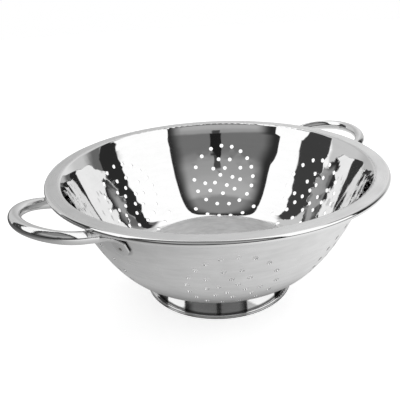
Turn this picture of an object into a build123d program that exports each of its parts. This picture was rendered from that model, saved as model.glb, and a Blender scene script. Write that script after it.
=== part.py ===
from build123d import *
from math import acos, asin, atan2, cos, degrees, radians, sin, sqrt, tan
import os

# A two-handled stainless steel colander. Millimetres, +Z up.
# The origin is the centre of the circle it stands on. The handles point along +X and -X.

# Bowl, one pressing of sheet: flat brim with a rolled bead, wall flared at its top, flat floor
sheet = 0.8
rim_radius = 140.0
rim_height = 111.4
bead_diameter = 4.4
bead_roll = 280
brim_width = 10.0
brim_corner_radius = 3.0
flare_radius = 40.0
flare_turn = 13.5
wall_lean = 18.5
wall_upper_reach = 48.0
wall_lower_reach = 15.0
floor_radius = 73.0
floor_height = 24.2
pad_rise = 0.9
pad_blend_radius = 3.0
pad_to_flange = 7.0

# Drain holes: six clusters round the wall, one in the floor
hole_diameter = 4.0
cluster_azimuths = (-9, 48, 109, 174, 238, 295)
ring_radius = 32.0
ring_count = 17
ring_start = 3
ring_crowding = 9
ring_crowded_side = -20
inner_hole_shares = (
    (-0.17, -0.54), (0.21, -0.53), (0.57, -0.26), (0.56, 0.13), (0.37, 0.46),
    (-0.02, 0.62), (-0.45, 0.51), (-0.62, 0.25), (-0.35, -0.23), (0.04, -0.24),
    (-0.11, -0.01), (0.30, 0.06), (-0.29, 0.25), (0.11, 0.34),
)
skirt_pitch = 14.0
skirt_angles = (-40, -21, -5, 10, 27, 46)
skirt_to_floor = 3.7
floor_ring_pitch = 10.0
floor_ring_counts = (1, 6, 12)

# Foot, a ring of sheet under the floor: flange at the top, lip at the bottom
foot_inset = 7.0
foot_lean = 4
foot_flange = 8.0
foot_shoulder_radius = 2.4
foot_toe_radius = 1.6
foot_lip = 0.8
foot_weld_count = 6

# Handles, round tube bent to a bow, ends flattened into tabs that lie on the wall
tube_diameter = 9.0
finger_room = 22.5
handle_half_width = 37.0
corner_centre_offset = 9.0
grip_flattening = 3.0
handle_rise = 13
handle_to_bead = 0.3
arm_inset = 5.0
tab_width = 13.8
tab_thickness = 2.0
tab_crown = 0.2
tab_edge = 0.9
tab_splay = 4.2
tab_skew = 6
tab_top_drop = 7.5
tab_length = 11.4
nose_flattening = 1.1
neck_thickness = 4.2
neck_share = 0.5
neck_pull = 0.5

# Spot welds
weld_gap = 0.3
weld_diameter = 4.0
dimple_diameter = 3.2
dimple_depth = 0.3
weld_to_tab_end = 6.0

overrun = 2.0

os.makedirs("parts", exist_ok=True)

# The dish that a welding tip leaves, cut by a sphere
dimple_sphere_radius = ((dimple_diameter / 2) ** 2 + dimple_depth**2) / (2 * dimple_depth)


def polar(radius, azimuth, height):
    """Point at a radius and azimuth round the bowl's axis."""
    return Vector(radius * cos(radians(azimuth)), radius * sin(radians(azimuth)), height)


def four_arcs(width, thickness, corner_x, corner_y):
    """Outline of the tube, round or flattened, inside a BuildLine."""
    ThreePointArc((corner_x, -corner_y), (width / 2, 0), (corner_x, corner_y))
    ThreePointArc((corner_x, corner_y), (0, thickness / 2), (-corner_x, corner_y))
    ThreePointArc((-corner_x, corner_y), (-width / 2, 0), (-corner_x, -corner_y))
    ThreePointArc((-corner_x, -corner_y), (0, -thickness / 2), (corner_x, -corner_y))


def unroll(curve, drop, azimuth):
    """Plane on the wall's inside face, a drop down the curve, facing out through the sheet."""
    point = curve.position_at(drop / curve.length)
    slope = curve.tangent_at(drop / curve.length)
    return Plane(
        origin=polar(point.X, azimuth, point.Y),
        x_dir=polar(-1, azimuth + 90, 0),
        z_dir=polar(-slope.Y, azimuth, slope.X),
    )


def wall_hole_planes(curve):
    """A ring, the holes inside it and a skirt below it, for each cluster."""
    skirt_radius = ring_radius + skirt_pitch
    cluster_drop = curve.length - skirt_to_floor - skirt_radius
    places = []
    for k in range(ring_count):
        turn = ring_start + 360 * k / ring_count
        turn -= ring_crowding * sin(radians(turn - ring_crowded_side))
        places.append((ring_radius * cos(radians(turn)), ring_radius * sin(radians(turn))))
    for share_across, share_down in inner_hole_shares:
        places.append((ring_radius * share_across, ring_radius * share_down))
    for turn in skirt_angles:
        places.append((skirt_radius * sin(radians(turn)), skirt_radius * cos(radians(turn))))
    planes = []
    for azimuth in cluster_azimuths:
        for across, down in places:
            radius = curve.position_at((cluster_drop + down) / curve.length).X
            planes.append(unroll(curve, cluster_drop + down, azimuth - degrees(across / radius)))
    return planes


def floor_hole_planes():
    """Rings of holes round the middle of the floor."""
    planes = []
    for ring, count in enumerate(floor_ring_counts):
        for k in range(count):
            planes.append(Plane(polar(ring * floor_ring_pitch, 360 * k / count, floor_height)))
    return planes


# Foot sizes, which the bowl's pad follows
foot_radius = floor_radius - foot_inset
band_turn = 90 - foot_lean
shoulder_drop = (foot_shoulder_radius + foot_toe_radius) * (1 - sin(radians(foot_lean)))
shoulder_run = (foot_shoulder_radius + foot_toe_radius) * cos(radians(foot_lean))
band_drop = floor_height - weld_gap - sheet - shoulder_drop
band_run = band_drop * tan(radians(foot_lean))
foot_flange_outer = foot_radius - foot_lip - shoulder_run - band_run
foot_flange_top = floor_height - weld_gap
foot_weld_radius = foot_flange_outer - foot_flange / 2
foot_flange_inner = foot_flange_outer - foot_flange

# Bowl
floor_top = floor_height + sheet
bead_centre_radius = rim_radius - bead_diameter / 2
brim_inner_radius = rim_radius - brim_width
pad_radius = foot_flange_inner - pad_to_flange
lean_normal = Vector(cos(radians(wall_lean)), -sin(radians(wall_lean)))
reach_gain = sheet * radians(90 - wall_lean) / 2
pad_blend_turn = degrees(acos(1 - pad_rise / (2 * pad_blend_radius)))

with BuildPart() as bowl:
    with BuildSketch(Plane.XZ) as bowl_section:
        with BuildLine():
            brim = Line((bead_centre_radius, rim_height), (brim_inner_radius, rim_height))
            bead = JernArc(brim @ 0, (1, 0), bead_diameter / 2, -bead_roll / 2)
            JernArc(bead @ 1, bead % 1, bead_diameter / 2, -bead_roll / 2)
            corner = JernArc(brim @ 1, (-1, 0), brim_corner_radius, 90 - wall_lean - flare_turn)
            flare = JernArc(corner @ 1, corner % 1, flare_radius, flare_turn)
            offset(amount=sheet, side=Side.LEFT)
        make_face()
        with BuildLine():
            wall = Bezier(
                flare @ 1,
                flare @ 1 + (flare % 1) * wall_upper_reach,
                (floor_radius + wall_lower_reach, floor_top),
                (floor_radius, floor_top),
            )
            wall_outside = Bezier(
                flare @ 1 + lean_normal * sheet,
                flare @ 1 + (flare % 1) * (wall_upper_reach + reach_gain) + lean_normal * sheet,
                (floor_radius + wall_lower_reach + reach_gain, floor_height),
                (floor_radius, floor_height),
            )
            Line(wall @ 0, wall_outside @ 0)
            Line(wall @ 1, wall_outside @ 1)
        make_face()
        with BuildLine():
            floor_rim = Line((floor_radius, floor_top), (pad_radius, floor_top))
            pad_foot = JernArc(floor_rim @ 1, (-1, 0), pad_blend_radius, -pad_blend_turn)
            pad_brow = JernArc(pad_foot @ 1, pad_foot % 1, pad_blend_radius, pad_blend_turn)
            Line(pad_brow @ 1, (0, (pad_brow @ 1).Y))
            offset(amount=sheet, side=Side.LEFT)
        make_face()
    revolve(axis=Axis.Z)
    with Locations(*wall_hole_planes(wall), *floor_hole_planes()):
        Cylinder(hole_diameter / 2, 2 * overrun, mode=Mode.SUBTRACT)

bowl.part.label = "bowl"
export_step(bowl.part, "parts/bowl.step")

# Foot
with BuildPart() as foot_ring:
    with BuildSketch(Plane.XZ):
        with BuildLine():
            flange = Line(
                (foot_flange_inner, foot_flange_top),
                (foot_flange_outer, foot_flange_top),
            )
            shoulder = JernArc(flange @ 1, (1, 0), foot_shoulder_radius, -band_turn)
            band = Line(shoulder @ 1, shoulder @ 1 + Vector(band_run, -band_drop))
            toe = JernArc(band @ 1, band % 1, foot_toe_radius, band_turn)
            Line(toe @ 1, (foot_radius, sheet))
            offset(amount=sheet, side=Side.RIGHT)
        make_face()
    revolve(axis=Axis.Z)
    with PolarLocations(foot_weld_radius, foot_weld_count):
        with Locations((0, 0, foot_flange_top - sheet - dimple_sphere_radius + dimple_depth)):
            Sphere(dimple_sphere_radius, mode=Mode.SUBTRACT)

foot_ring.part.label = "foot_ring"
export_step(foot_ring.part, "parts/foot_ring.step")

with BuildPart() as foot_weld_nuggets:
    with BuildSketch(Plane.XY.offset(foot_flange_top)):
        with PolarLocations(foot_weld_radius, foot_weld_count):
            Circle(weld_diameter / 2)
    extrude(amount=weld_gap)

foot_weld_nuggets.part.label = "foot_weld_nuggets"
export_step(foot_weld_nuggets.part, "parts/foot_weld_nuggets.step")

# Handles
handle_reach = rim_radius + finger_room + tube_diameter
handle_corner_radius = handle_half_width - corner_centre_offset
handle_end_radius = handle_half_width + grip_flattening
bow_radius_at_bead = sqrt(bead_centre_radius**2 - handle_half_width**2)
bow_below_bead = bead_diameter / 2 + handle_to_bead + tube_diameter / 2
bow_height_at_bead = rim_height - bead_diameter / 2 - bow_below_bead / cos(radians(handle_rise))
bow_end = (handle_reach - tube_diameter / 2 - bow_radius_at_bead) / cos(radians(handle_rise))
centre_shift = sqrt((handle_end_radius - handle_corner_radius) ** 2 - corner_centre_offset**2)
junction_turn = degrees(atan2(corner_centre_offset, centre_shift))
arm_end = bow_end - handle_end_radius + centre_shift
weld_drop = tab_top_drop + tab_length - weld_to_tab_end
tab_radius = wall_outside.position_at(weld_drop / wall_outside.length).X
tab_azimuth = degrees(asin((handle_half_width + tab_splay) / tab_radius))
tab_nose_radius = tab_width / 2 + nose_flattening
neck_width = (tube_diameter + tab_width) / 2
tube_corner = tube_diameter / 2 * sin(radians(45))
neck_corner = (neck_width / 2 * cos(radians(45)), neck_thickness / 2 * sin(radians(45)))
tab_corner = (tab_width / 2 - tab_edge, tab_thickness / 2 - tab_crown)

for handle_name, heading in (("right_handle", 0), ("left_handle", 180)):
    bow_plane = Plane(
        origin=polar(bow_radius_at_bead, heading, bow_height_at_bead),
        x_dir=polar(cos(radians(handle_rise)), heading, sin(radians(handle_rise))),
        z_dir=polar(-sin(radians(handle_rise)), heading, cos(radians(handle_rise))),
    )
    with BuildPart() as handle:
        with BuildLine(bow_plane) as bow:
            arm = Line((-arm_inset, -handle_half_width), (arm_end, -handle_half_width))
            bend = JernArc(arm @ 1, (1, 0), handle_corner_radius, 90 - junction_turn)
            grip = JernArc(bend @ 1, bend % 1, handle_end_radius, 2 * junction_turn)
            far_bend = JernArc(grip @ 1, grip % 1, handle_corner_radius, 90 - junction_turn)
            Line(far_bend @ 1, (-arm_inset, handle_half_width))
        with BuildSketch(Plane(origin=arm @ 0, x_dir=bow_plane.y_dir, z_dir=arm % 0)):
            with BuildLine():
                four_arcs(tube_diameter, tube_diameter, tube_corner, tube_corner)
            make_face()
        sweep(path=bow.wires()[0])
        for side in (1, -1):
            seat = unroll(wall_outside, weld_drop, heading + side * tab_azimuth)
            tab = Plane(
                origin=seat.offset(weld_gap).origin,
                x_dir=seat.x_dir.rotate(Axis(seat.origin, seat.z_dir), side * tab_skew),
                z_dir=seat.z_dir,
            )
            tab_top = tab.from_local_coords((0, tab_top_drop - weld_drop, tab_thickness / 2))
            neck_start = bow_plane.from_local_coords((-arm_inset, side * handle_half_width, 0))
            neck = Spline(
                neck_start,
                tab_top,
                tangents=(-bow_plane.x_dir, tab.y_dir),
                tangent_scalars=(neck_pull, neck_pull),
            )
            stations = (
                (0, bow_plane.y_dir, tube_diameter, tube_diameter, tube_corner, tube_corner),
                (neck_share, tab.x_dir * -1, neck_width, neck_thickness, *neck_corner),
                (1, tab.x_dir * -1, tab_width, tab_thickness, *tab_corner),
            )
            for share, across, width, thickness, corner_x, corner_y in stations:
                across_neck = Plane(origin=neck @ share, x_dir=across, z_dir=neck % share)
                with BuildSketch(across_neck) as station:
                    with BuildLine():
                        four_arcs(width, thickness, corner_x, corner_y)
                    make_face()
            loft()
            extrude(station.sketch, amount=tab_length + overrun)
            with BuildSketch(tab.offset(tab_thickness / 2)):
                with Locations((0, weld_to_tab_end - tab_nose_radius)):
                    Rectangle(
                        tab_width + overrun,
                        tab_nose_radius + 2 * overrun,
                        align=(Align.CENTER, Align.MIN),
                    )
                    Circle(tab_nose_radius, mode=Mode.SUBTRACT)
            extrude(amount=tab_thickness, both=True, mode=Mode.SUBTRACT)
            with Locations(tab.offset(tab_thickness - dimple_depth + dimple_sphere_radius)):
                Sphere(dimple_sphere_radius, mode=Mode.SUBTRACT)
    handle.part.label = handle_name
    export_step(handle.part, f"parts/{handle_name}.step")

with BuildPart() as handle_weld_nuggets:
    for heading in (0, 180):
        for side in (1, -1):
            with BuildSketch(unroll(wall_outside, weld_drop, heading + side * tab_azimuth)):
                Circle(weld_diameter / 2)
    extrude(amount=weld_gap)

handle_weld_nuggets.part.label = "handle_weld_nuggets"
export_step(handle_weld_nuggets.part, "parts/handle_weld_nuggets.step")
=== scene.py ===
from math import cos, pi, radians, sin
import bmesh
import bpy
from mathutils import Matrix, Vector


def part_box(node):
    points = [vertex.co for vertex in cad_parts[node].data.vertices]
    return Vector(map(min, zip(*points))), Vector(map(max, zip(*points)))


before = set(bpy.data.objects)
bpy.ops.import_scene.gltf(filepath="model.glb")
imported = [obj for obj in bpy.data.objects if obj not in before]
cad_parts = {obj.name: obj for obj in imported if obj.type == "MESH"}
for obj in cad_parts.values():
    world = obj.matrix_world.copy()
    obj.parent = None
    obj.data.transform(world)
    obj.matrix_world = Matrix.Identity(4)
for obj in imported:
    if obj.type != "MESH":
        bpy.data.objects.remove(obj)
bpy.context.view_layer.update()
scene = bpy.context.scene

# Camera, in metres and degrees. Pan, tilt and roll turn it a little off the aim point
aim_point = Vector((0, 0, 0.0493))
camera_distance = 0.4392
camera_azimuth = 232.95
camera_elevation = 27.02
camera_pan = 1.89
camera_tilt = 3.37
camera_roll = 2.08
sensor_width = 36
focal_share = 488.7 / 400
camera_right = Vector((-sin(radians(camera_azimuth)), cos(radians(camera_azimuth)), 0))

# The studio is given by direction from the bowl, and its levels are what the metal sees, where 1 is white.
# Sides and lifts are in degrees: side is 0 towards the camera and grows to the camera's right, and lift is 0
# along the table and grows upwards. A pair of them in a ramp goes from where it is 0 to where it is 1

# Softboxes, one at each side and meeting over the top. A box starts at its place to the side of the bowl,
# and further out towards the camera by its slope. Low down the left one starts further out by its step
box_level = 1.55
box_soft = 0.005
left_box_place = 0.416
left_box_slope = 0.69
left_box_step = 0.09
left_box_step_heights = (0.43, 0.34)
right_box_place = 0.25
right_box_slope = 0.54

# Grey gap between the boxes: its level low down, and then the lifts between which it changes, with the
# level that it changes to. The fades say how far from each box the gap's dark edge ends
low_gap_level = 0.24
gap_changes = ((24.5, 29, 0.47), (29, 42, 0.62), (47, 53, 0.36))
gap_edge_level = 0.04
left_edge_fade = (0.06, 0.33)
right_edge_fade = (0.02, 0.25)

# Black spot in the gap, where the camera and its stand are
spot_level = 0.02
camera_spot = {"sides": (-7, 4), "lifts": (20.5, 26.5), "soft_side": 0.4, "soft_lift": 0.4}
stand_spot = {"sides": (-5.5, 1.5), "lifts": (26, 31.5), "soft_side": 0.5, "soft_lift": 0.7}
stand_share = 0.85

# Unlit room low over the table on the camera's side, and higher straight behind the camera
horizon_level = 0.05
horizon_lift = 12
horizon_rise = 5
horizon_soft = 1.5
horizon_half = 100
ahead_half = 45
horizon_side_soft = 8

# Tent walls beyond the boxes, under the roof. The right one is in shade next to its flag. The backdrop
# across from the camera closes the tent, and is brighter to the camera's right
roof_lifts = (56, 50)
tent_level = 0.85
shaded_tent_level = 0.2
left_tent_sides = (-110, -114)
right_tent_sides = (108, 112)
shaded_tent_sides = (118, 132)
backdrop_level = 0.9
backdrop_rise = 0.6
backdrop_half = 150
backdrop_soft = 10

# Black flags. Each has the side of its middle, half its width at the table, and how much it narrows and
# leans away from the camera with each degree of lift. The right one leans only above its bend
left_flag_level = 0.07
left_flag_side = -89
left_flag_half = 19.5
left_flag_taper = 0.28
left_flag_lean = 0.45
right_flag_level = 0.035
right_flag_side = 102
right_flag_half = 11
right_flag_taper = 0.11
right_flag_lean = 1.1
right_flag_bend = 27
flag_soft = 0.6
flag_top_lifts = (53, 47)

# Table. The camera sees it white. The metal sees it grey, with painted light that is brighter to the
# camera's right and a painted shadow under the bowl, and near the foot it sees a mirror where it looks along
# it. The mirror is dim in a strip along the camera's line, and dimmest beside the foot, where a painted
# shadow darkens it. Radii are from the bowl's axis, in metres
table_radius = 3.0
table_colour = 0.9
table_glow = 0.66
table_level = 0.69
painted_light_rise = 1.6
lowest_table_level = 0.12
highest_table_level = 0.95
painted_shadow_share = 0.33
painted_shadow_radii = (0.066, 0.104)
mirror_radii = (0.14, 0.12)
mirror_angles = (0.36, 0.42)
mirror_roughness = 0.03
mirror_colour = 0.95
strip_mirror_colour = 0.46
strip_halves = (0.041, 0.037)
contact_shadow_mirror_colour = 0.12
contact_shadow_radii = (0.0716, 0.0694)

# Bowl radii between which the inside is polished, and where the polished bead starts
polish_from = 0.0765
polish_to = 0.1285
polish_soft = 0.0006
floor_soft = 0.0007
bead_from = 0.1372

# Radii between which a handle's tube turns into its tab
tab_radii = (0.1315, 0.1275)

# Handle welds: half of one's width along X and along Y, and how far the marks round it reach
weld_half_x = 0.0011
weld_half_y = 0.0019
# Painted shade in each weld's dimple fades in between these distances from the weld
dimple_shade_reach = (0.0028, 0.0023)
ring_reach = (0.0031, 0.0036)
ring_soft = 0.0004
# The painted shadow on the outside wall round each tab fades in between these distances from the weld
tab_shadow_reach = (0.0094, 0.0074)

# Relief of the finishes, in metres for a height of 1
relief_distance = 0.0001


def add_camera():
    """The camera on a sphere round the bowl, then turned a little off the aim point."""
    azimuth = radians(camera_azimuth)
    elevation = radians(camera_elevation)
    towards = Vector((cos(elevation) * cos(azimuth), cos(elevation) * sin(azimuth), sin(elevation)))
    forward = -towards
    right = camera_right
    up = right.cross(forward)
    pan = Matrix.Rotation(radians(camera_pan), 3, up)
    forward = pan @ forward
    right = pan @ right
    tilt = Matrix.Rotation(radians(camera_tilt), 3, right)
    forward = tilt @ forward
    up = tilt @ up
    roll = Matrix.Rotation(radians(camera_roll), 3, forward)
    right = roll @ right
    up = roll @ up
    data = bpy.data.cameras.new("camera")
    data.sensor_width = sensor_width
    data.lens = sensor_width * focal_share
    camera = bpy.data.objects.new("camera", data)
    place = Matrix((right, up, -forward)).transposed().to_4x4()
    place.translation = aim_point + towards * camera_distance
    camera.matrix_world = place
    scene.collection.objects.link(camera)
    scene.camera = camera


def node(tree, kind, **values):
    """A shader node. The values set its inputs or its properties, by name."""
    made = tree.nodes.new(kind)
    for name, value in values.items():
        if name in made.inputs:
            made.inputs[name].default_value = value
        else:
            setattr(made, name, value)
    return made


def new_material(name):
    """A material with an empty node tree, and the tree."""
    material = bpy.data.materials.new(name)
    material.use_nodes = True
    material.node_tree.nodes.clear()
    return material, material.node_tree


def grey(level):
    """A grey as a socket takes it."""
    return (level, level, level, 1)


def calc(tree, operation, first, second=None):
    """The result of a Math node. An input is a socket or a number."""
    made = node(tree, "ShaderNodeMath", operation=operation)
    for slot, value in enumerate((first, second)):
        if value is None:
            continue
        if isinstance(value, (int, float)):
            made.inputs[slot].default_value = value
        else:
            tree.links.new(value, made.inputs[slot])
    return made.outputs[0]


def add(tree, first, second):
    """The sum of two values."""
    return calc(tree, "ADD", first, second)


def subtract(tree, first, second):
    """The first value less the second."""
    return calc(tree, "SUBTRACT", first, second)


def times(tree, first, *others):
    """A value times each of the others."""
    result = first
    for other in others:
        result = calc(tree, "MULTIPLY", result, other)
    return result


def with_shares(tree, start, *shares):
    """The start value plus a share of each mask. Each of the shares is a mask and its factor."""
    result = start
    for mask, share in shares:
        result = add(tree, result, times(tree, mask, share))
    return result


def ramp(tree, value, low, high):
    """0 below low, 1 above high, smooth between. Runs the other way if low is the larger."""
    made = node(tree, "ShaderNodeMapRange", interpolation_type="SMOOTHSTEP")
    made.inputs["From Min"].default_value = low
    made.inputs["From Max"].default_value = high
    tree.links.new(value, made.inputs["Value"])
    return made.outputs[0]


def band(tree, value, low, high, soft):
    """1 between low and high, with soft edges."""
    above_low = ramp(tree, value, low - soft, low + soft)
    below_high = ramp(tree, value, high + soft, high - soft)
    return times(tree, above_low, below_high)


def blend(tree, mask, below, above):
    """The number below where the mask is 0, the number above where it is 1."""
    return add(tree, times(tree, subtract(tree, 1, mask), below), times(tree, mask, above))


def tinted(tree, mask, below, above):
    """A colour from below to above with the mask. Each is a grey level, a colour or a colour socket."""
    made = node(tree, "ShaderNodeMix", data_type="RGBA")
    ends = [socket for socket in made.inputs if socket.type == "RGBA"]
    for socket, colour in zip(ends, (below, above)):
        if isinstance(colour, float):
            socket.default_value = grey(colour)
        elif isinstance(colour, tuple):
            socket.default_value = (*colour, 1)
        else:
            tree.links.new(colour, socket)
    tree.links.new(mask, made.inputs["Factor"])
    return [socket for socket in made.outputs if socket.type == "RGBA"][0]


def split(tree, vector):
    """The three parts of a vector."""
    parts = node(tree, "ShaderNodeSeparateXYZ")
    tree.links.new(vector, parts.inputs[0])
    return tuple(parts.outputs)


def vector_math(tree, operation, vector):
    """A Vector Math node with its first vector linked."""
    made = node(tree, "ShaderNodeVectorMath", operation=operation)
    tree.links.new(vector, made.inputs[0])
    return made


def scaled(tree, vector, size):
    """A vector times a number. Both are sockets."""
    made = vector_math(tree, "SCALE", vector)
    tree.links.new(size, made.inputs["Scale"])
    return made.outputs[0]


def noise(tree, place, **values):
    """The grey of a Noise Texture at a place."""
    made = node(tree, "ShaderNodeTexNoise", **values)
    tree.links.new(place, made.inputs["Vector"])
    return made.outputs[0]


def own_place(tree):
    """The piece's own coordinates, in metres."""
    return node(tree, "ShaderNodeTexCoord").outputs["Object"]


def axis_radius(tree):
    """Distance from the bowl's axis."""
    x, y = split(tree, own_place(tree))[:2]
    return calc(tree, "SQRT", add(tree, times(tree, x, x), times(tree, y, y)))


def mixed(tree, mask, below, above):
    """One shader where the mask is 0 and another where it is 1."""
    made = node(tree, "ShaderNodeMixShader")
    for slot, socket in enumerate((mask, below, above)):
        tree.links.new(socket, made.inputs[slot])
    return made.outputs[0]


def show(tree, kind, shader):
    """Links a shader to a new output node of a material or of the world."""
    output = node(tree, kind)
    tree.links.new(shader, output.inputs[0])


def table_mirror(tree, across, radius):
    """The table's gloss, dim in the strip and dimmest beside the foot, where a painted shadow darkens it."""
    strip = ramp(tree, calc(tree, "ABSOLUTE", across), *strip_halves)
    colour = tinted(tree, strip, mirror_colour, strip_mirror_colour)
    # Painted contact shadow of the foot on the mirror beside it
    in_contact_shadow = ramp(tree, radius, *contact_shadow_radii)
    mirror = node(tree, "ShaderNodeBsdfGlossy", Roughness=mirror_roughness)
    tree.links.new(tinted(tree, in_contact_shadow, colour, contact_shadow_mirror_colour), mirror.inputs["Color"])
    return mirror.outputs[0]


def table_finish():
    """White with the bowl's shadow for the camera, and for the metal the grey, with painted light and a
    painted shadow, and the mirror.
    """
    material, tree = new_material("floor_white")
    sideways = vector_math(tree, "DOT_PRODUCT", own_place(tree))
    sideways.inputs[1].default_value = camera_right
    across = sideways.outputs["Value"]
    radius = axis_radius(tree)

    sheet = node(tree, "ShaderNodeBsdfDiffuse", Color=grey(table_colour))
    glow = node(tree, "ShaderNodeEmission", Color=grey(1), Strength=table_glow)
    white = node(tree, "ShaderNodeAddShader")
    tree.links.new(sheet.outputs[0], white.inputs[0])
    tree.links.new(glow.outputs[0], white.inputs[1])

    # Painted light: the level seen by the metal rises towards the camera's right
    level = add(tree, times(tree, across, painted_light_rise), table_level)
    level = calc(tree, "MAXIMUM", level, lowest_table_level)
    level = calc(tree, "MINIMUM", level, highest_table_level)
    # Painted shadow of the bowl on the table, as the metal sees it
    painted_shadow_under_bowl = blend(tree, ramp(tree, radius, *painted_shadow_radii), painted_shadow_share, 1)
    seen = node(tree, "ShaderNodeEmission", Color=grey(1))
    tree.links.new(times(tree, level, painted_shadow_under_bowl), seen.inputs["Strength"])

    angle = node(tree, "ShaderNodeLayerWeight", Blend=0.5)
    along = ramp(tree, angle.outputs["Facing"], *mirror_angles)
    near_foot = ramp(tree, radius, *mirror_radii)
    mirror = table_mirror(tree, across, radius)
    for_metal = mixed(tree, times(tree, near_foot, along), seen.outputs[0], mirror)

    path = node(tree, "ShaderNodeLightPath")
    for_others = mixed(tree, path.outputs["Is Camera Ray"], sheet.outputs[0], white.outputs[0])
    show(tree, "ShaderNodeOutputMaterial", mixed(tree, path.outputs["Is Glossy Ray"], for_others, for_metal))
    return material


def add_floor():
    """The table, a disc far wider than the bowl."""
    bm = bmesh.new()
    bmesh.ops.create_circle(bm, cap_ends=True, segments=64, radius=table_radius)
    mesh = bpy.data.meshes.new("floor")
    bm.to_mesh(mesh)
    bm.free()
    floor = bpy.data.objects.new("floor", mesh)
    scene.collection.objects.link(floor)
    mesh.materials.append(table_finish())


def box_edges(tree, ahead, right, up):
    """How far a direction is from the left box and from the right box. Below 0 it is in the box."""
    step = times(tree, ramp(tree, up, *left_box_step_heights), left_box_step)
    slanted = add(tree, right, times(tree, ahead, left_box_slope))
    past_left = add(tree, slanted, add(tree, step, left_box_place))
    slanted = add(tree, times(tree, ahead, right_box_slope), right_box_place)
    past_right = subtract(tree, slanted, right)
    return past_left, past_right


def patch(tree, side, lift, sides, lifts, soft_side, soft_lift):
    """1 in an upright rectangle of the studio, with soft edges."""
    return times(tree, band(tree, side, *sides, soft_side), band(tree, lift, *lifts, soft_lift))


def grey_gap(tree, side, lift, past_left, past_right):
    """Level of the gap, darker low down and along its edges, with the camera's black spot in it."""
    level = low_gap_level
    for start, end, changed in gap_changes:
        level = blend(tree, ramp(tree, lift, start, end), level, changed)
    inside_left = ramp(tree, past_left, *left_edge_fade)
    inside_right = ramp(tree, past_right, *right_edge_fade)
    level = blend(tree, times(tree, inside_left, inside_right), gap_edge_level, level)
    body = patch(tree, side, lift, **camera_spot)
    stand = times(tree, patch(tree, side, lift, **stand_spot), stand_share)
    return blend(tree, calc(tree, "MAXIMUM", body, stand), level, spot_level)


def horizon(tree, side, lift):
    """1 in the unlit room on the camera's side."""
    ahead = band(tree, side, -ahead_half, ahead_half, horizon_side_soft)
    top = add(tree, horizon_lift, times(tree, ahead, horizon_rise))
    under_top = ramp(tree, subtract(tree, top, lift), -horizon_soft, horizon_soft)
    return times(tree, under_top, band(tree, side, -horizon_half, horizon_half, horizon_side_soft))


def tent(tree, level, side, lift, right):
    """The level with the tent's walls and the backdrop added behind the boxes."""
    under_roof = ramp(tree, lift, *roof_lifts)
    left_wall = times(tree, ramp(tree, side, *left_tent_sides), under_roof)
    level = blend(tree, left_wall, level, tent_level)
    right_wall = times(tree, ramp(tree, side, *right_tent_sides), under_roof)
    right_level = blend(tree, ramp(tree, side, *shaded_tent_sides), shaded_tent_level, tent_level)
    level = blend(tree, right_wall, level, right_level)
    before_backdrop = band(tree, side, -backdrop_half, backdrop_half, backdrop_soft)
    backdrop = times(tree, subtract(tree, 1, before_backdrop), under_roof)
    return blend(tree, backdrop, level, add(tree, times(tree, right, backdrop_rise), backdrop_level))


def flag(tree, lift, off_middle, half, taper):
    """1 on a flag that narrows upwards. off_middle is the side measured from its leaning middle line."""
    half_there = subtract(tree, half, times(tree, lift, taper))
    past_edge = subtract(tree, calc(tree, "ABSOLUTE", off_middle), half_there)
    return times(tree, ramp(tree, past_edge, flag_soft, -flag_soft), ramp(tree, lift, *flag_top_lifts))


def flags(tree, level, side, lift):
    """The level with the two black flags added."""
    off_left = add(tree, subtract(tree, side, left_flag_side), times(tree, lift, left_flag_lean))
    left_flag = flag(tree, lift, off_left, left_flag_half, left_flag_taper)
    level = blend(tree, left_flag, level, left_flag_level)
    above_bend = calc(tree, "MAXIMUM", subtract(tree, lift, right_flag_bend), 0)
    lean = times(tree, above_bend, right_flag_lean)
    off_right = subtract(tree, subtract(tree, side, right_flag_side), lean)
    right_flag = flag(tree, lift, off_right, right_flag_half, right_flag_taper)
    return blend(tree, right_flag, level, right_flag_level)


def add_studio():
    """A light tent with two tall softboxes, black flags beside them and a grey gap round the camera."""
    world = bpy.data.worlds.new("studio")
    world.use_nodes = True
    tree = world.node_tree
    tree.nodes.clear()
    turn = node(tree, "ShaderNodeMapping", vector_type="POINT")
    turn.inputs["Rotation"].default_value = (0, 0, radians(-camera_azimuth))
    direction = node(tree, "ShaderNodeTexCoord")
    tree.links.new(direction.outputs["Generated"], turn.inputs["Vector"])
    ahead, right, up = split(tree, turn.outputs[0])
    side = times(tree, calc(tree, "ARCTAN2", right, ahead), 180 / pi)
    lift = times(tree, calc(tree, "ARCSINE", up), 180 / pi)

    past_left, past_right = box_edges(tree, ahead, right, up)
    level = grey_gap(tree, side, lift, past_left, past_right)
    in_left = ramp(tree, past_left, box_soft, -box_soft)
    in_right = ramp(tree, past_right, box_soft, -box_soft)
    level = blend(tree, calc(tree, "MAXIMUM", in_left, in_right), level, box_level)
    level = blend(tree, horizon(tree, side, lift), level, horizon_level)
    level = tent(tree, level, side, lift, right)
    level = flags(tree, level, side, lift)

    light = node(tree, "ShaderNodeBackground")
    tree.links.new(level, light.inputs["Strength"])
    white = node(tree, "ShaderNodeBackground", Color=grey(1), Strength=1.0)
    path = node(tree, "ShaderNodeLightPath")
    both = mixed(tree, path.outputs["Is Camera Ray"], light.outputs[0], white.outputs[0])
    show(tree, "ShaderNodeOutputWorld", both)
    scene.world = world


def new_group(name, inputs, outputs):
    """An empty node group with number inputs and outputs, its first input the place on the piece."""
    group = bpy.data.node_groups.new(name, "ShaderNodeTree")
    group.interface.new_socket(name="Place", in_out="INPUT", socket_type="NodeSocketVector")
    for label in inputs:
        group.interface.new_socket(name=label, in_out="INPUT", socket_type="NodeSocketFloat")
    for label in outputs:
        group.interface.new_socket(name=label, in_out="OUTPUT", socket_type="NodeSocketFloat")
    return group, group.nodes.new("NodeGroupInput"), group.nodes.new("NodeGroupOutput")


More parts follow.
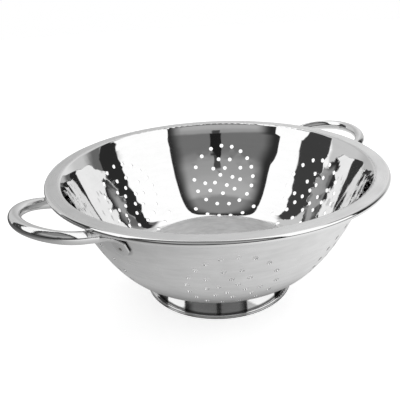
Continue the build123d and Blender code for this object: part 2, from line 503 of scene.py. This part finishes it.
def turned_grain_group():
    """Fine lines round the bowl's axis, as a spun and brushed sheet has, and wide bands among them.

    Lines sets how close they lie, and Breaks how often they change round the bowl.
    """
    height_share = 0.7
    band_share = 0.08
    group, entry, result = new_group("turned_grain", ("Lines", "Breaks"), ("Grain", "Bands"))
    x, y, z = split(group, entry.outputs["Place"])
    flat = node(group, "ShaderNodeCombineXYZ")
    group.links.new(x, flat.inputs[0])
    group.links.new(y, flat.inputs[1])
    radius = vector_math(group, "LENGTH", flat.outputs[0]).outputs["Value"]
    outward = vector_math(group, "NORMALIZE", flat.outputs[0]).outputs[0]
    along_x, along_y = split(group, scaled(group, outward, entry.outputs["Breaks"]))[:2]
    across = add(group, radius, times(group, z, height_share))
    for label, share in (("Grain", 1), ("Bands", band_share)):
        place = node(group, "ShaderNodeCombineXYZ")
        group.links.new(along_x, place.inputs[0])
        group.links.new(along_y, place.inputs[1])
        group.links.new(times(group, across, entry.outputs["Lines"], share), place.inputs[2])
        lines = noise(group, place.outputs[0], Scale=1.0, Detail=2.0, Roughness=0.6)
        group.links.new(ramp(group, lines, 0.25, 0.75), result.inputs[label])
    return group


def handling_wear_group():
    """Hairline scratches in two directions, and soft smudges from hands and cloths.

    Scratches and Smudges set how small each of them is.
    """
    scratch_turns = ((0.3, 0.2, 0.9), (1.2, 0.5, -0.6))
    scratch_stretch = (1, 14, 1)
    group, entry, result = new_group("handling_wear", ("Scratches", "Smudges"), ("Scratch", "Smudge"))
    marks = []
    for turn in scratch_turns:
        lay = node(group, "ShaderNodeMapping", vector_type="POINT", Rotation=turn, Scale=scratch_stretch)
        group.links.new(entry.outputs["Place"], lay.inputs["Vector"])
        place = scaled(group, lay.outputs[0], entry.outputs["Scratches"])
        hairs = noise(group, place, Scale=1.0, Detail=3.0, Roughness=0.7)
        marks.append(ramp(group, hairs, 0.63, 0.72))
    group.links.new(calc(group, "MAXIMUM", *marks), result.inputs["Scratch"])
    place = scaled(group, entry.outputs["Place"], entry.outputs["Smudges"])
    smears = noise(group, place, Scale=1.0, Detail=4.0, Roughness=0.55)
    group.links.new(ramp(group, smears, 0.38, 0.68), result.inputs["Smudge"])
    return group


def placed_group(tree, group, **values):
    """A group in a material, fed with the piece's own coordinates."""
    made = tree.nodes.new("ShaderNodeGroup")
    made.node_tree = group
    tree.links.new(own_place(tree), made.inputs["Place"])
    for label, value in values.items():
        made.inputs[label].default_value = value
    return made


def weld_distance(tree):
    """Distance from the nearest of the four handle welds, in metres. They lie alike in each quarter."""
    low, high = (Vector(corner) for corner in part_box("handle_weld_nuggets"))
    quarter = vector_math(tree, "ABSOLUTE", own_place(tree))
    away = vector_math(tree, "DISTANCE", quarter.outputs[0])
    away.inputs[1].default_value = (high.x - weld_half_x, high.y - weld_half_y, (low.z + high.z) / 2)
    return away.outputs["Value"]


def steel(material, colour, roughness, height, bump_strength):
    """The metal itself. Colour, roughness and height are sockets."""
    tree = material.node_tree
    shader = node(tree, "ShaderNodeBsdfPrincipled", Metallic=1.0)
    tree.links.new(colour, shader.inputs["Base Color"])
    tree.links.new(roughness, shader.inputs["Roughness"])
    relief = node(tree, "ShaderNodeBump", Strength=bump_strength, Distance=relief_distance)
    tree.links.new(height, relief.inputs["Height"])
    tree.links.new(relief.outputs[0], shader.inputs["Normal"])
    show(tree, "ShaderNodeOutputMaterial", shader.outputs[0])
    return material


def bowl_steel():
    """Polished inner wall and bead. Brushed satin on the brim, the floor and the outside."""
    satin_roughness = 0.26
    floor_roughness = 0.62
    polished_roughness = 0.03
    polished_shade = 0.35
    # Share and grey of the painted shadow round each handle's tab
    tab_shadow_share = 0.55
    tab_shadow_grey = 0.3
    brush_depth = 0.12
    wave_depth = 1.2
    material, tree = new_material("bowl_steel")
    radius = axis_radius(tree)
    surface = node(tree, "ShaderNodeTexCoord")
    upward = split(tree, surface.outputs["Normal"])[2]
    inside = ramp(tree, upward, 0.0, 0.05)
    past_floor = ramp(tree, radius, polish_from - polish_soft, polish_from + polish_soft)
    below_brim = ramp(tree, radius, polish_to + 2 * polish_soft, polish_to - polish_soft)
    wall = times(tree, past_floor, below_brim, inside)
    bead = ramp(tree, radius, bead_from, bead_from + polish_soft)
    polished = calc(tree, "MAXIMUM", wall, bead)
    in_floor = ramp(tree, radius, polish_from + floor_soft, polish_from - floor_soft)
    inner_floor = times(tree, in_floor, inside)
    grain = placed_group(tree, turned_grain, Lines=2600, Breaks=5)
    wear = placed_group(tree, handling_wear, Scratches=90, Smudges=38)
    smudge = wear.outputs["Smudge"]

    brushed = blend(tree, inner_floor, satin_roughness, floor_roughness)
    brushed = with_shares(tree, brushed, (grain.outputs["Grain"], 0.08), (smudge, 0.05))
    gloss = with_shares(tree, polished_roughness, (smudge, 0.015), (wear.outputs["Scratch"], 0.03))
    roughness = blend(tree, polished, brushed, gloss)

    shade = add(tree, times(tree, grain.outputs["Bands"], 0.6), times(tree, smudge, 0.4))
    shade = times(tree, shade, blend(tree, polished, 1, polished_shade))
    clean = tinted(tree, inner_floor, 0.82, 0.97)
    dull = tinted(tree, inner_floor, 0.72, 0.8)
    colour = tinted(tree, shade, clean, dull)
    # A painted shadow darkens the outside wall round each handle's tab
    painted_tab_shadow = times(tree, ramp(tree, weld_distance(tree), *tab_shadow_reach), ramp(tree, upward, 0.0, -0.05))
    colour = tinted(tree, times(tree, painted_tab_shadow, tab_shadow_share), colour, tab_shadow_grey)

    waves = noise(tree, surface.outputs["Object"], Scale=42.0, Detail=1.0)
    brush_height = times(tree, grain.outputs["Grain"], brush_depth)
    height = blend(tree, polished, brush_height, times(tree, waves, wave_depth))
    return steel(material, colour, roughness, height, bump_strength=1.0)


def foot_steel():
    """Bright drawn ring, with the drawing lines round it."""
    foot_roughness = 0.06
    line_depth = 0.08
    material, tree = new_material("foot_steel")
    grain = placed_group(tree, turned_grain, Lines=1800, Breaks=3)
    wear = placed_group(tree, handling_wear, Scratches=120, Smudges=50)
    lines = grain.outputs["Grain"]
    roughness = with_shares(tree, foot_roughness, (lines, 0.05), (wear.outputs["Scratch"], 0.08))
    colour = tinted(tree, grain.outputs["Bands"], 0.8, 0.73)
    return steel(material, colour, roughness, times(tree, lines, line_depth), bump_strength=1.0)


def handle_steel():
    """Polished tube. The flattened tabs are duller, with painted shade in the dimple and a dark ring at each
    weld.
    """
    tube_roughness = 0.05
    tab_roughness = 0.24
    # Painted shade in the dimple at each weld
    dimple_shade_colour = (0.2, 0.19, 0.18)
    ring_share = 0.4
    ring_grey = 0.4
    scratch_depth = 0.1
    material, tree = new_material("handle_steel")
    tab = ramp(tree, axis_radius(tree), *tab_radii)
    wear = placed_group(tree, handling_wear, Scratches=150, Smudges=60)
    scratch = wear.outputs["Scratch"]
    smudge = wear.outputs["Smudge"]
    roughness = blend(tree, tab, tube_roughness, tab_roughness)
    roughness = with_shares(tree, roughness, (smudge, 0.05), (scratch, 0.1))
    shade = times(tree, smudge, blend(tree, tab, 0.4, 1))
    clean = tinted(tree, tab, 0.8, 0.74)
    dull = tinted(tree, tab, 0.72, 0.6)
    colour = tinted(tree, shade, clean, dull)
    from_weld = weld_distance(tree)
    # Painted shade in the dimple at each weld
    colour = tinted(tree, ramp(tree, from_weld, *dimple_shade_reach), colour, dimple_shade_colour)
    ring = band(tree, from_weld, *ring_reach, ring_soft)
    colour = tinted(tree, times(tree, ring, ring_share), colour, ring_grey)
    return steel(material, colour, roughness, times(tree, scratch, scratch_depth), bump_strength=1.0)


def weld_steel():
    """Dull weld metal, browned by the heat."""
    weld_roughness = 0.42
    clean_colour = (0.56, 0.54, 0.52)
    browned_colour = (0.4, 0.36, 0.33)
    material, tree = new_material("weld_steel")
    wear = placed_group(tree, handling_wear, Scratches=200, Smudges=300)
    smudge = wear.outputs["Smudge"]
    roughness = with_shares(tree, weld_roughness, (smudge, 0.15))
    colour = tinted(tree, smudge, clean_colour, browned_colour)
    return steel(material, colour, roughness, smudge, bump_strength=0.6)


def dress(material, *names):
    """Gives a finish to the CAD nodes of these names."""
    for name in names:
        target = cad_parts[name]
        target.data.materials.clear()
        target.data.materials.append(material)


add_camera()
add_floor()
turned_grain = turned_grain_group()
handling_wear = handling_wear_group()
dress(bowl_steel(), "bowl")
dress(foot_steel(), "foot_ring")
dress(handle_steel(), "right_handle", "left_handle")
dress(weld_steel(), "handle_weld_nuggets", "foot_weld_nuggets")
add_studio()
scene.view_settings.view_transform = "Standard"
